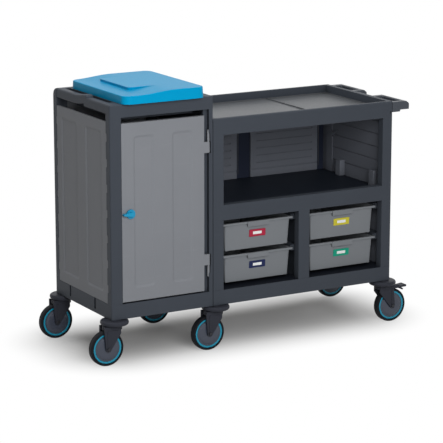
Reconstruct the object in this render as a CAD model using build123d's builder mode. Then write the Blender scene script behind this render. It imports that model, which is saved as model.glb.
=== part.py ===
from build123d import *
import os

os.makedirs("parts", exist_ok=True)

# A modular cleaning cart on six swivel casters: a tall cabinet with a hinged door and a lidded bag bay,
# joined to a long body with a top tray, an open shelf and four sliding drawers.
# Millimetres. +X runs towards the push handle, +Y to the back and +Z up.
# The origin is on the floor under the middle of the whole cart, wheels and handle included.

# Frame: plan sizes, and the stack of heights from the floor up
frame_length = 1380.0
cabinet_length = 480.0
frame_depth = 535.0
base_height = 64.0
drawer_bay_height = 301.0
middle_rail_height = 66.0
shelf_bay_height = 300.0
tray_band_height = 71.0
cabinet_rise = 98.0
top_rail_height = 54.0

# Posts, walls and the seam between the two modules
post_depth = 36.0
latch_post_width = 51.0
hinge_post_width = 39.0
body_post_width = 50.0
divider_width = 54.0
divider_wall = 30.0
module_seam = 2.5
edge_radius = 7.0
cabinet_rear_radius = 32.0
soft_edge = 2.0

# Bases: deck on a skirt, stiffened underneath by a grid of ribs
skirt_wall = 6.0
deck_wall = 6.0
base_rib_wall = 4.0
base_rib_pitch = 118.0
base_slot_width = 14.0
base_slot_depth = 10.0
base_slot_rise = 15.0
base_slot_places = (156.0, 391.0)

# Door, its stop, its hinge and its latch
door_gap = 1.5
door_inset = 1.0
door_thickness = 20.0
door_sill_gap = 6.0
door_head_gap = 25.0
door_skin = 8.0
door_rim = 14.0
door_field_border = 55.0
door_field_strip = 82.0
field_depth = 4.0
field_slope = 9.0
field_corner = 14.0
stop_gap = 2.0
stop_thickness = 7.0
stop_width = 12.0
hinge_inset = 18.5
hinge_setback = 8.0
hinge_channel_width = 20.0
hinge_channel_depth = 16.0
hinge_barrel_radius = 6.5
hinge_pin_radius = 5.5
hinge_pin_length = 50.0
hinge_groove_length = 35.0
hinge_arm_height = 47.0
hinge_arm_sill = 111.0
hinge_arm_head = 112.0
knob_inset = 39.5
knob_height = 378.0
knob_radius = 19.5
knob_base_thickness = 6.0
knob_grip_thickness = 12.0
knob_tip_radius = 4.0
latch_shaft_radius = 6.0
cam_gap = 1.0
cam_thickness = 3.0
cam_width = 16.0
cam_overlap = 8.0

# Cabinet side and rear panels
panel_wall = 12.0
panel_inset = 1.0
panel_head_gap = 19.0
rear_panel_head_gap = 6.0
panel_field_border = 42.0
panel_field_strip = 78.0
snap_tab_count = 7
snap_tab_pitch = 106.0
snap_tab_height = 33.0
snap_tab_reach = 5.0
snap_tab_thickness = 4.0
snap_tab_play = 2.0

# Cabinet top frame, carry grip, bag collar and lid
seat_thickness = 18.0
seat_inset = 54.0
grip_width = 36.0
grip_height = 40.0
grip_corner = 8.0
grip_nose = 12.0
grip_front = 178.0
grip_overlap = 24.0
grip_straight = 163.0
grip_lift = 12.0
grip_rear_web = 24.0
grip_web = 30.0
side_rail_width = 32.0
mouth_margin = 26.0
collar_wall = 5.0
collar_height = 55.0
lid_width = 379.0
lid_left_inset = 56.0
lid_overhang = 25.0
lid_rear_inset = 53.0
lid_gap = 0.6
lid_height = 46.0
lid_wall = 4.0
lid_corner = 36.0
lid_draft = 3.0
lid_top_radius = 4.0
ramp_rise = 12.0
ramp_start = 70.0
ramp_end = 240.0
ramp_skew = 50.0
plate_left_inset = 88.0
plate_front_inset = 135.0
plate_depth = 275.0
plate_corner = 20.0
lid_axis_offset = 8.0
lid_barrel_radius = 6.5
lid_stub_radius = 4.0
lid_ear_width = 30.0
lid_ear_inset = 76.0
lug_thickness = 8.0

# Body panels: partition, handle-end side, rear frame, back panels and shelf
partition_offset = 2.0
partition_wall_thickness = 12.0
side_panel_thickness = 22.0
wall_rib_count = 5
wall_rib_pitch = 58.0
wall_rib_width = 5.0
wall_rib_depth = 3.0
corner_pad_thickness = 4.0
corner_pad_depth = 52.0
corner_pad_gap = 20.0
wall_hook_reach = 12.0
wall_hook_length = 85.0
wall_hook_height = 32.0
wall_hook_rise = 165.0
wall_hook_gap = 35.0
shelf_block_reach = 26.0
shelf_block_width = 36.0
shelf_block_height = 70.0
shelf_block_front = 75.0
shelf_block_rear = 345.0
shelf_drop = 17.0
shelf_thickness = 6.0
shelf_rib_height = 12.0
shelf_rib_wall = 4.0
shelf_rib_count = 5
rear_frame_thickness = 7.0
upright_width = 72.0
rear_rail_height = 42.0
window_margin = 12.0
upright_slit_width = 4.0
upright_slit_inset = 10.0
back_panel_thickness = 10.0
back_groove_count = 8
back_groove_first = 65.0
back_groove_pitch = 33.0
back_groove_width = 6.0
back_groove_depth = 3.0
back_groove_inset = 30.0
back_step_height = 34.0

# Top tray and push handle
tray_frame_height = 57.0
tray_rim_width = 20.0
tray_front_wall = 12.0
tray_front_rim = 6.0
tray_ledge_width = 14.0
tray_ledge_drop = 42.0
tray_insert_floor = 4.0
tray_insert_wall = 3.0
tray_insert_rim = 9.0
tray_insert_gap = 1.0
tray_seam_offset = 565.0
handle_reach = 90.0
handle_drop = 5.0
handle_height = 36.0
handle_bar = 28.0
handle_root = 20.0
handle_loop_length = 196.0
handle_end_inset = 2.0
handle_corner = 8.0
handle_round = 10.0
handle_slope_run = 17.0
handle_slope_drop = 14.0
handle_bracket_reach = 42.0
handle_bracket_drop = 8.0
band_slot_inset = 12.5
band_slot_rise = 22.0
band_slot_width = 4.0
band_slot_height = 10.0
band_slot_depth = 8.0

# Drawers and their runners
drawer_side_gap = 11.0
drawer_setback = 28.0
drawer_rear_gap = 60.0
drawer_wall = 3.0
drawer_draft = 4.5
drawer_corner = 12.0
drawer_top_gap = 26.0
drawer_floor_gap = 16.0
drawer_stack_gap = 17.0
lip_thickness = 9.0
lip_overhang = 12.0
pull_width = 104.0
pull_reach = 3.0
pull_drop = 22.0
runner_setback = 4.0
runner_rear_gap = 48.0
runner_flange = 8.0
runner_wall = 7.0
runner_gap = 0.8
runner_side_gap = 3.0

# Casters
caster_inset = 24.0
caster_trail = 40.0
wheel_radius = 75.0
tyre_half_width = 16.0
tyre_thickness = 10.0
tyre_shoulder = 7.0
ring_thickness = 10.0
ring_half_width = 15.0
ring_round = 4.0
hub_rim_half_width = 13.5
hub_rim_thickness = 6.0
hub_boss_half_width = 17.5
hub_boss_radius = 15.0
axle_radius = 6.0
axle_head_radius = 7.0
axle_head_height = 4.0
axle_nut_sides = 6
bearing_clearance = 0.25
disc_radius = 60.0
disc_thickness = 20.0
disc_round = 9.0
disc_boss_radius = 26.0
disc_boss_height = 2.0
swivel_gap = 0.5
crown_radius = 32.0
roof_clearance = 4.0
roof_thickness = 18.5
roof_reach = 29.0
leg_gap = 3.5
leg_thickness = 7.0
leg_back = 18.0
leg_front = 58.0
brake_leg_back = 26.0
brake_leg_front = 44.0
leg_knee_rise = 63.0
leg_foot_radius = 12.0
leg_ear_radius = 8.0
leg_ridge_width = 5.0
leg_ridge_height = 2.0
kingpin_radius = 10.0
kingpin_length = 60.0
kingpin_socket = 48.0
pedal_pivot_reach = 66.0
pedal_pivot_drop = 12.5
pedal_boss_radius = 6.5
pedal_stub_radius = 3.5
pedal_side_gap = 1.5
pedal_waist_reach = 84.0
pedal_waist_drop = 18.0
pedal_waist_radius = 4.0
pedal_tip_reach = 113.0
pedal_tip_drop = 16.0
pedal_tip_radius = 5.0
pedal_heel_reach = 97.0
pedal_heel_drop = 30.0
pedal_heel_radius = 3.5

# Places worked out from the sizes above
roof_bottom = 2 * wheel_radius + roof_clearance
roof_top = roof_bottom + roof_thickness
disc_bottom = roof_top + swivel_gap
disc_top = disc_bottom + disc_thickness
ride_height = disc_top + disc_boss_height
left_overhang = caster_trail + wheel_radius - caster_inset
right_overhang = max(handle_reach, pedal_tip_reach + pedal_tip_radius - caster_inset)
left_x = (left_overhang - right_overhang - frame_length) / 2
right_x = left_x + frame_length
joint_x = left_x + cabinet_length
cabinet_right = joint_x - module_seam / 2
body_left = joint_x + module_seam / 2
front_y = -frame_depth / 2
rear_y = frame_depth / 2
inner_front = front_y + post_depth
inner_rear = rear_y - post_depth
base_top = ride_height + base_height
bay_top = base_top + drawer_bay_height
rail_top = bay_top + middle_rail_height
band_bottom = rail_top + shelf_bay_height
body_top = band_bottom + tray_band_height
cabinet_top = body_top + cabinet_rise
rail_bottom = cabinet_top - top_rail_height
tray_bottom = body_top - tray_frame_height
tray_front = front_y + tray_front_wall
opening_left = left_x + latch_post_width
opening_right = joint_x - hinge_post_width
divider_x = (body_left + right_x) / 2
partition_left = joint_x + partition_offset
partition_right = partition_left + partition_wall_thickness
side_panel_left = right_x - side_panel_thickness
shelf_top = rail_top - shelf_drop
shelf_bottom = shelf_top - shelf_thickness
back_panel_rear = rear_y - rear_frame_thickness
back_panel_front = back_panel_rear - back_panel_thickness
selection_gap = 0.05


def rectangle(low, high, mode=Mode.ADD):
    """Draw a rectangle between two corners of the current sketch."""
    with Locations(((low[0] + high[0]) / 2, (low[1] + high[1]) / 2)):
        Rectangle(high[0] - low[0], high[1] - low[1], mode=mode)


def rounded_rectangle(low, high, radius):
    """Draw a rectangle with rounded corners between two corners of the current sketch."""
    with Locations(((low[0] + high[0]) / 2, (low[1] + high[1]) / 2)):
        RectangleRounded(high[0] - low[0], high[1] - low[1], radius)


def front_plane(y):
    """A sketch plane at depth y that faces the front: sketch x is X, sketch y is Z."""
    return Plane.XZ.offset(-y)


def edges_at(builder, direction, *places):
    """The edges along one direction that lie at every given (axis, coordinate)."""
    chosen = builder.edges().filter_by(direction)
    for axis, place in places:
        chosen = chosen.filter_by_position(axis, place - selection_gap, place + selection_gap)
    return chosen


def sunk_field(low, high, face_plane, floor_plane):
    """Cut a shallow field with sloping sides into the part being built."""
    with BuildSketch(face_plane) as mouth:
        rounded_rectangle(low, high, field_corner)
    with BuildSketch(floor_plane) as floor:
        inner_low = (low[0] + field_slope, low[1] + field_slope)
        inner_high = (high[0] - field_slope, high[1] - field_slope)
        rounded_rectangle(inner_low, inner_high, field_corner - field_slope / 2)
    loft([mouth.sketch, floor.sketch], mode=Mode.SUBTRACT)


def field_pair(low, high, border, strip):
    """The corners of two upright fields side by side inside a panel."""
    middle = (low[0] + high[0]) / 2
    first = ((low[0] + border, low[1] + border), (middle - strip / 2, high[1] - border))
    second = ((middle + strip / 2, low[1] + border), (high[0] - border, high[1] - border))
    return (first, second)


def save(builder, label):
    """Label a finished piece and write it."""
    builder.part.label = label
    export_step(builder.part, f"parts/{label}.step")


# Caster places: swivel axis and the way each caster trails
caster_front_y = front_y + caster_inset
caster_rear_y = rear_y - caster_inset
caster_left_x = left_x + caster_inset
caster_middle_x = body_left + caster_inset
caster_right_x = right_x - caster_inset
casters = {
    "left_front": (caster_left_x, caster_front_y, -1),
    "left_rear": (caster_left_x, caster_rear_y, -1),
    "middle_front": (caster_middle_x, caster_front_y, -1),
    "middle_rear": (caster_middle_x, caster_rear_y, -1),
    "right_front": (caster_right_x, caster_front_y, 1),
    "right_rear": (caster_right_x, caster_rear_y, 1),
}
cabinet_caster_spots = [(caster_left_x, caster_front_y), (caster_left_x, caster_rear_y)]
body_caster_spots = [
    (caster_middle_x, caster_front_y),
    (caster_middle_x, caster_rear_y),
    (caster_right_x, caster_front_y),
    (caster_right_x, caster_rear_y),
]
all_caster_spots = cabinet_caster_spots + body_caster_spots


def base_moulding(low_x, high_x, spots, corner_x, slots):
    """A deck on a skirt with ribs underneath and a solid block round each kingpin socket."""
    inner_length = high_x - low_x - 2 * skirt_wall
    inner_depth = frame_depth - 2 * skirt_wall
    columns = round(inner_length / base_rib_pitch)
    rows = round(inner_depth / base_rib_pitch)
    column_pitch = inner_length / columns
    row_pitch = inner_depth / rows
    with BuildPart() as base:
        with BuildSketch(Plane.XY.offset(ride_height)):
            rectangle((low_x, front_y), (high_x, rear_y))
        extrude(amount=base_height)
        with BuildSketch(Plane.XY.offset(ride_height)):
            with Locations(((low_x + high_x) / 2, 0)):
                with GridLocations(column_pitch, row_pitch, columns, rows):
                    Rectangle(column_pitch - base_rib_wall, row_pitch - base_rib_wall)
            with Locations(*spots):
                Rectangle(2 * caster_inset, 2 * caster_inset, mode=Mode.SUBTRACT)
        extrude(amount=base_height - deck_wall, mode=Mode.SUBTRACT)
        with BuildSketch(Plane.XY.offset(ride_height)):
            with Locations(*spots):
                Circle(kingpin_radius + bearing_clearance)
        extrude(amount=kingpin_socket, mode=Mode.SUBTRACT)
        fillet(edges_at(base, Axis.Z, (Axis.X, corner_x), (Axis.Y, front_y)), edge_radius)
        fillet(edges_at(base, Axis.Z, (Axis.X, corner_x), (Axis.Y, rear_y)), edge_radius)
        if slots:
            with BuildSketch(Plane.YZ.offset(low_x)):
                for place in slots:
                    slot_y = front_y + place
                    slot_low = (slot_y - base_slot_width / 2, ride_height + base_slot_rise)
                    rectangle(slot_low, (slot_y + base_slot_width / 2, base_top))
            extrude(amount=base_slot_depth, mode=Mode.SUBTRACT)
    return base


save(base_moulding(left_x, cabinet_right, cabinet_caster_spots, left_x, base_slot_places), "cabinet_base")
save(base_moulding(body_left, right_x, body_caster_spots, right_x, ()), "body_base")

# Heights of the snap tabs that hold the side panel between the cabinet's posts
side_panel_top = rail_bottom - panel_head_gap
side_panel_middle = (base_top + side_panel_top) / 2
lowest_snap_tab = side_panel_middle - (snap_tab_count - 1) / 2 * snap_tab_pitch
snap_tab_heights = [lowest_snap_tab + index * snap_tab_pitch for index in range(snap_tab_count)]


def snap_pockets(low_y, high_y):
    """Cut the pockets for the side panel's snap tabs into a cabinet post."""
    with BuildSketch(Plane.YZ.offset(left_x)) as pockets:
        for height in snap_tab_heights:
            reach = snap_tab_height / 2 + snap_tab_play
            rectangle((low_y, height - reach), (high_y, height + reach))
    extrude(pockets.sketch, amount=panel_inset + snap_tab_thickness + snap_tab_play, mode=Mode.SUBTRACT)


# Hinge and latch places
hinge_x = joint_x - hinge_inset
hinge_y = front_y + hinge_setback
door_left = opening_left + door_gap
door_right = opening_right - door_gap
door_bottom = base_top + door_sill_gap
door_top = rail_bottom - door_head_gap
door_front = front_y + door_inset
door_rear = door_front + door_thickness
stop_front = door_rear + stop_gap
stop_rear = stop_front + stop_thickness
lower_arm = door_bottom + hinge_arm_sill
upper_arm = door_top - hinge_arm_head - hinge_arm_height
# Each hinge: the underside of its arm, and the way its pin points
hinges = ((lower_arm, -1), (upper_arm, 1))
pin_room = hinge_pin_radius + bearing_clearance
arm_room = hinge_barrel_radius + door_gap


def pin_start(arm, way):
    """The height where a hinge pin leaves its arm."""
    return arm + hinge_arm_height if way > 0 else arm


# Cabinet front frame: two posts and the top rail, with the door stop and the hinge channel
with BuildPart() as cabinet_front_frame:
    with BuildSketch(front_plane(front_y)):
        rectangle((left_x, base_top), (cabinet_right, cabinet_top))
        rectangle((opening_left, base_top), (opening_right, rail_bottom), mode=Mode.SUBTRACT)
    extrude(amount=-post_depth)
    corner_edges = edges_at(cabinet_front_frame, Axis.Z, (Axis.X, left_x), (Axis.Y, front_y))
    top_edges = edges_at(cabinet_front_frame, Axis.X, (Axis.Y, front_y), (Axis.Z, cabinet_top))
    end_edges = edges_at(cabinet_front_frame, Axis.Y, (Axis.X, left_x), (Axis.Z, cabinet_top))
    fillet(corner_edges + top_edges + end_edges, edge_radius)
    with BuildSketch(front_plane(stop_front)):
        rectangle((opening_left, base_top), (opening_left + stop_width, rail_bottom))
    extrude(amount=-stop_thickness)
    with BuildSketch(front_plane(front_y)):
        rectangle((opening_right, base_top), (opening_right + hinge_channel_width, rail_bottom))
    extrude(amount=-hinge_channel_depth, mode=Mode.SUBTRACT)
    for arm, way in hinges:
        with BuildSketch(Plane.XY.offset(arm - door_gap)):
            with Locations((hinge_x, hinge_y)):
                Circle(arm_room)
            rectangle((hinge_x - arm_room, front_y), (hinge_x + arm_room, hinge_y))
        extrude(amount=hinge_arm_height + 2 * door_gap, mode=Mode.SUBTRACT)
        with BuildSketch(Plane.XY.offset(pin_start(arm, way))):
            with Locations((hinge_x, hinge_y)):
                Circle(pin_room)
        extrude(amount=way * (hinge_pin_length + door_gap), mode=Mode.SUBTRACT)
        with BuildSketch(Plane.XY.offset(pin_start(arm, way))):
            rectangle((hinge_x - pin_room, front_y), (hinge_x + pin_room, hinge_y))
        extrude(amount=way * hinge_groove_length, mode=Mode.SUBTRACT)
    snap_pockets(inner_front - snap_tab_reach - snap_tab_play, inner_front)
save(cabinet_front_frame, "cabinet_front_frame")

# Cabinet rear frame: the same two posts and top rail at the back
with BuildPart() as cabinet_rear_frame:
    with BuildSketch(front_plane(inner_rear)):
        rectangle((left_x, base_top), (cabinet_right, cabinet_top))
        rectangle((opening_left, base_top), (opening_right, rail_bottom), mode=Mode.SUBTRACT)
    extrude(amount=-post_depth)
    top_edges = edges_at(cabinet_rear_frame, Axis.X, (Axis.Y, rear_y), (Axis.Z, cabinet_top))
    fillet(top_edges, cabinet_rear_radius)
    bend_edges = cabinet_rear_frame.edges().filter_by(GeomType.CIRCLE).sort_by(Axis.X)[:1]
    corner_edges = edges_at(cabinet_rear_frame, Axis.Z, (Axis.X, left_x), (Axis.Y, rear_y))
    end_edges = edges_at(cabinet_rear_frame, Axis.Y, (Axis.X, left_x), (Axis.Z, cabinet_top))
    fillet(corner_edges + bend_edges + end_edges, edge_radius)
    snap_pockets(inner_rear, inner_rear + snap_tab_reach + snap_tab_play)
save(cabinet_rear_frame, "cabinet_rear_frame")

# Side panel: a grey moulding with two sunk fields, held by snap tabs along both upright edges
side_panel_left_x = left_x + panel_inset
with BuildPart() as cabinet_side_panel:
    panel_low = (inner_front, base_top)
    panel_high = (inner_rear, side_panel_top)
    with BuildSketch(Plane.YZ.offset(side_panel_left_x)):
        rectangle(panel_low, panel_high)
    extrude(amount=panel_wall)
    with BuildSketch(Plane.YZ.offset(side_panel_left_x)):
        for height in snap_tab_heights:
            low_z = height - snap_tab_height / 2
            high_z = height + snap_tab_height / 2
            rectangle((inner_front - snap_tab_reach, low_z), (inner_rear + snap_tab_reach, high_z))
    extrude(amount=snap_tab_thickness)
    field_floor = Plane.YZ.offset(side_panel_left_x + field_depth)
    for low, high in field_pair(panel_low, panel_high, panel_field_border, panel_field_strip):
        sunk_field(low, high, Plane.YZ.offset(side_panel_left_x), field_floor)
save(cabinet_side_panel, "cabinet_side_panel")

# Rear panel: a grey moulding that closes the back of the cabinet
rear_panel_rear = rear_y - panel_inset
with BuildPart() as cabinet_rear_panel:
    panel_low = (opening_left, base_top)
    panel_high = (opening_right, rail_bottom - rear_panel_head_gap)
    with BuildSketch(front_plane(rear_panel_rear)):
        rectangle(panel_low, panel_high)
    extrude(amount=panel_wall)
    for low, high in field_pair(panel_low, panel_high, panel_field_border, panel_field_strip):
        sunk_field(low, high, front_plane(rear_panel_rear), front_plane(rear_panel_rear - field_depth))
save(cabinet_rear_panel, "cabinet_rear_panel")

# Door: a moulded shell with two sunk fields, hinge arms and pins in one piece
knob_x = door_left + knob_inset
knob_z = base_top + knob_height
with BuildPart() as door:
    panel_low = (door_left, door_bottom)
    panel_high = (door_right, door_top)
    with BuildSketch(front_plane(door_front)):
        rectangle(panel_low, panel_high)
    extrude(amount=-door_thickness)
    fillet(door.faces().sort_by(Axis.Y)[0].edges(), soft_edge)
    with BuildSketch(front_plane(door_rear)):
        pocket_low = (door_left + door_rim, door_bottom + door_rim)
        rectangle(pocket_low, (door_right - door_rim, door_top - door_rim))
        with Locations((knob_x, knob_z)):
            Circle(knob_radius, mode=Mode.SUBTRACT)
    extrude(amount=door_thickness - door_skin, mode=Mode.SUBTRACT)
    for low, high in field_pair(panel_low, panel_high, door_field_border, door_field_strip):
        sunk_field(low, high, front_plane(door_front), front_plane(door_front + field_depth))
    for arm, way in hinges:
        with BuildSketch(Plane.XY.offset(arm)):
            with Locations((hinge_x, hinge_y)):
                Circle(hinge_barrel_radius)
            arm_low = (door_right - soft_edge, hinge_y - hinge_barrel_radius)
            rectangle(arm_low, (hinge_x, hinge_y + hinge_barrel_radius))
        extrude(amount=hinge_arm_height)
        with BuildSketch(Plane.XY.offset(pin_start(arm, way))):
            with Locations((hinge_x, hinge_y)):
                Circle(hinge_pin_radius)
        extrude(amount=way * hinge_pin_length)
    with BuildSketch(front_plane(door_front)):
        with Locations((knob_x, knob_z)):
            Circle(latch_shaft_radius + bearing_clearance)
    extrude(amount=-door_thickness, mode=Mode.SUBTRACT)
save(door, "door")

# Latch: a quarter-turn knob with a pointer, its shaft through the door, and the cam behind the stop
cam_front = stop_rear + cam_gap
knob_seat = door_front - swivel_gap
knob_pointer = knob_inset - door_gap - knob_tip_radius
with BuildPart() as latch_knob:
    with BuildSketch(front_plane(knob_seat)):
        with Locations((knob_x, knob_z)):
            Circle(knob_radius)
    extrude(amount=knob_base_thickness)
    with BuildSketch(front_plane(knob_seat)):
        with Locations((knob_x, knob_z)):
            Circle(knob_radius / 2)
        with Locations((knob_x - knob_pointer, knob_z)):
            Circle(knob_tip_radius)
        make_hull()
    extrude(amount=knob_base_thickness + knob_grip_thickness)
    fillet(latch_knob.faces().sort_by(Axis.Y)[0].edges(), soft_edge)
    with BuildSketch(front_plane(knob_seat)):
        with Locations((knob_x, knob_z)):
            Circle(latch_shaft_radius)
    extrude(amount=knob_seat - cam_front)
save(latch_knob, "latch_knob")

cam_reach = knob_x - opening_left - stop_width + cam_overlap
with BuildPart() as latch_cam:
    with BuildSketch(front_plane(cam_front)):
        with Locations((knob_x, knob_z)):
            Circle(cam_width / 2)
        rectangle((knob_x - cam_width / 2, knob_z), (knob_x + cam_width / 2, knob_z + cam_reach))
    extrude(amount=-cam_thickness)
    fillet(edges_at(latch_cam, Axis.Y, (Axis.Z, knob_z + cam_reach)), soft_edge)
save(latch_cam, "latch_cam")

# Lid places
lid_left = left_x + lid_left_inset
lid_right = lid_left + lid_width
lid_front = front_y - lid_overhang
lid_rear = rear_y - lid_rear_inset
lid_bottom = cabinet_top + lid_gap
lid_top = lid_bottom + lid_height
lid_axis_y = lid_rear + lid_axis_offset
lid_axis_z = cabinet_top + lid_axis_offset
lid_ears = (lid_left + lid_ear_inset, lid_right - lid_ear_inset)
mouth_low = (lid_left + mouth_margin, inner_front + mouth_margin)
mouth_high = (lid_right - mouth_margin, lid_rear - mouth_margin)
seat_left = left_x + seat_inset
seat_bottom = cabinet_top - seat_thickness

# Cabinet top frame: the lid's seat with the bag mouth, the carry grip, the right wall and the lid's lugs
grip_left = left_x + panel_inset
grip_right = grip_left + grip_width
grip_bottom = cabinet_top - grip_height
grip_middle_x = (grip_left + grip_right) / 2
grip_end = inner_front + grip_front
grip_bend = inner_rear - grip_straight
with BuildPart() as cabinet_top_frame:
    with BuildSketch(Plane.YZ.offset(grip_left)):
        with BuildLine():
            Spline((grip_end, cabinet_top + grip_lift), (grip_bend, cabinet_top), tangents=[(1, 0), (1, 0)])
            Polyline(
                (grip_bend, cabinet_top),
                (inner_rear, cabinet_top),
                (inner_rear, grip_bottom),
                (grip_bend, grip_bottom),
            )
            Spline((grip_bend, grip_bottom), (grip_end, grip_bottom + grip_lift), tangents=[(-1, 0), (-1, 0)])
            Line((grip_end, grip_bottom + grip_lift), (grip_end, cabinet_top + grip_lift))
        make_face()
    extrude(amount=grip_width)
    fillet(cabinet_top_frame.faces().sort_by(Axis.Y)[0].edges().filter_by(Axis.X), grip_nose)
    grip_sides = cabinet_top_frame.faces().sort_by(Axis.X)
    fillet(grip_sides[0].edges() + grip_sides[-1].edges(), grip_corner)
    with BuildSketch(Plane.XY.offset(seat_bottom)):
        rectangle((seat_left, inner_front), (cabinet_right, inner_rear))
        rectangle(mouth_low, mouth_high, mode=Mode.SUBTRACT)
        rectangle((grip_middle_x, inner_front), (seat_left, inner_front + grip_web))
        rectangle((grip_middle_x, inner_rear - grip_rear_web), (seat_left, inner_rear))
    extrude(amount=seat_thickness)
    with BuildSketch(Plane.XY.offset(rail_bottom)):
        rectangle((cabinet_right - side_rail_width, inner_front), (cabinet_right, inner_rear))
    extrude(amount=top_rail_height - seat_thickness)
    with BuildSketch(Plane.XY.offset(tray_bottom)):
        rectangle((cabinet_right - panel_wall, inner_front), (cabinet_right, inner_rear))
    extrude(amount=rail_bottom - tray_bottom)
    with BuildSketch(front_plane(inner_front)):
        rounded_rectangle((grip_left, grip_bottom), (grip_right, cabinet_top), grip_corner)
    extrude(amount=-grip_front - grip_overlap)
    with BuildSketch(front_plane(inner_rear)):
        rounded_rectangle((grip_left, grip_bottom), (grip_right, cabinet_top), grip_corner)
    extrude(amount=grip_rear_web)
    for ear_x in lid_ears:
        for side in (-1, 1):
            lug_x = ear_x + side * (lid_ear_width / 2 + swivel_gap + lug_thickness / 2)
            with BuildSketch(Plane.YZ.offset(lug_x)):
                with Locations((lid_axis_y, lid_axis_z)):
                    Circle(lid_barrel_radius)
                lug_low = (lid_axis_y - lid_barrel_radius, cabinet_top - lug_thickness)
                rectangle(lug_low, (lid_axis_y + lid_barrel_radius, lid_axis_z))
                with Locations((lid_axis_y, lid_axis_z)):
                    Circle(lid_stub_radius + bearing_clearance, mode=Mode.SUBTRACT)
            extrude(amount=lug_thickness / 2, both=True)
save(cabinet_top_frame, "cabinet_top_frame")

# Bag collar: a sleeve under the seat that the bag is folded over
with BuildPart() as bag_collar:
    with BuildSketch(Plane.XY.offset(seat_bottom - collar_height)):
        collar_low = (mouth_low[0] - collar_wall, mouth_low[1] - collar_wall)
        collar_high = (mouth_high[0] + collar_wall, mouth_high[1] + collar_wall)
        rectangle(collar_low, collar_high)
        rectangle(mouth_low, mouth_high, mode=Mode.SUBTRACT)
    extrude(amount=collar_height)
save(bag_collar, "bag_collar")

# Lid: a drafted shell that ramps up from its left edge, with a raised plate on the ramp and hinge ears
with BuildPart() as lid:
    with BuildSketch(Plane.XY.offset(lid_bottom)):
        rounded_rectangle((lid_left, lid_front), (lid_right, lid_rear), lid_corner)
    extrude(amount=lid_height, taper=lid_draft)
    ramp_floor = lid_top - ramp_rise
    low_end = (lid_left + ramp_start, ramp_floor)
    high_end = (lid_left + ramp_end, lid_top)
    with BuildSketch(front_plane(lid_front)):
        with BuildLine():
            Polyline(high_end, (lid_left, lid_top), (lid_left, ramp_floor), low_end)
            Spline(low_end, high_end, tangents=[(1, 0), (1, 0)])
        make_face()
    ramp_run = Vector(-ramp_skew, lid_rear - lid_front, 0)
    extrude(amount=ramp_run.length, dir=ramp_run, mode=Mode.SUBTRACT)
    walls = lid.faces().filter_by(lambda face: face.bounding_box().min.Z < lid_bottom + selection_gap)
    rim = walls.edges().filter_by(lambda edge: edge.bounding_box().min.Z > ramp_floor - selection_gap)
    fillet(rim, lid_top_radius)
    with BuildSketch(Plane.XY.offset(ramp_floor)):
        plate_low = (lid_left + plate_left_inset, lid_front + plate_front_inset)
        plate_high = (lid_left + ramp_end + plate_corner, plate_low[1] + plate_depth)
        rounded_rectangle(plate_low, plate_high, plate_corner)
    extrude(amount=ramp_rise)
    with BuildSketch(Plane.XY.offset(lid_bottom)):
        inner_low = (lid_left + lid_wall, lid_front + lid_wall)
        inner_high = (lid_right - lid_wall, lid_rear - lid_wall)
        rounded_rectangle(inner_low, inner_high, lid_corner - lid_wall)
    extrude(amount=lid_height - ramp_rise - lid_wall, taper=lid_draft, mode=Mode.SUBTRACT)
    for ear_x in lid_ears:
        with BuildSketch(Plane.YZ.offset(ear_x)):
            with Locations((lid_axis_y, lid_axis_z)):
                Circle(lid_barrel_radius)
            ear_low = (lid_rear - lid_wall, lid_axis_z - lid_barrel_radius)
            rectangle(ear_low, (lid_axis_y, lid_axis_z + lid_barrel_radius))
        extrude(amount=lid_ear_width / 2, both=True)
        with BuildSketch(Plane.YZ.offset(ear_x)):
            with Locations((lid_axis_y, lid_axis_z)):
                Circle(lid_stub_radius)
        extrude(amount=lid_ear_width / 2 + swivel_gap + lug_thickness, both=True)
save(lid, "lid")


def wall_ribs(face_x, amount, low_y, high_y):
    """Run level grooves along the inner face of an upright wall above the shelf."""
    with BuildSketch(Plane.YZ.offset(face_x)) as grooves:
        for index in range(wall_rib_count):
            groove_z = shelf_top + (index + 1) * wall_rib_pitch
            rectangle((low_y, groove_z - wall_rib_width / 2), (high_y, groove_z + wall_rib_width / 2))
    extrude(grooves.sketch, amount=amount, mode=Mode.SUBTRACT)


# Partition: the wall between the cabinet and the body
with BuildPart() as partition_wall:
    with BuildSketch(Plane.YZ.offset(partition_left)):
        rectangle((inner_front, base_top), (back_panel_rear, tray_bottom))
    extrude(amount=partition_wall_thickness)
    wall_ribs(partition_right, -wall_rib_depth, inner_front, back_panel_front)
save(partition_wall, "partition_wall")

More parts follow.
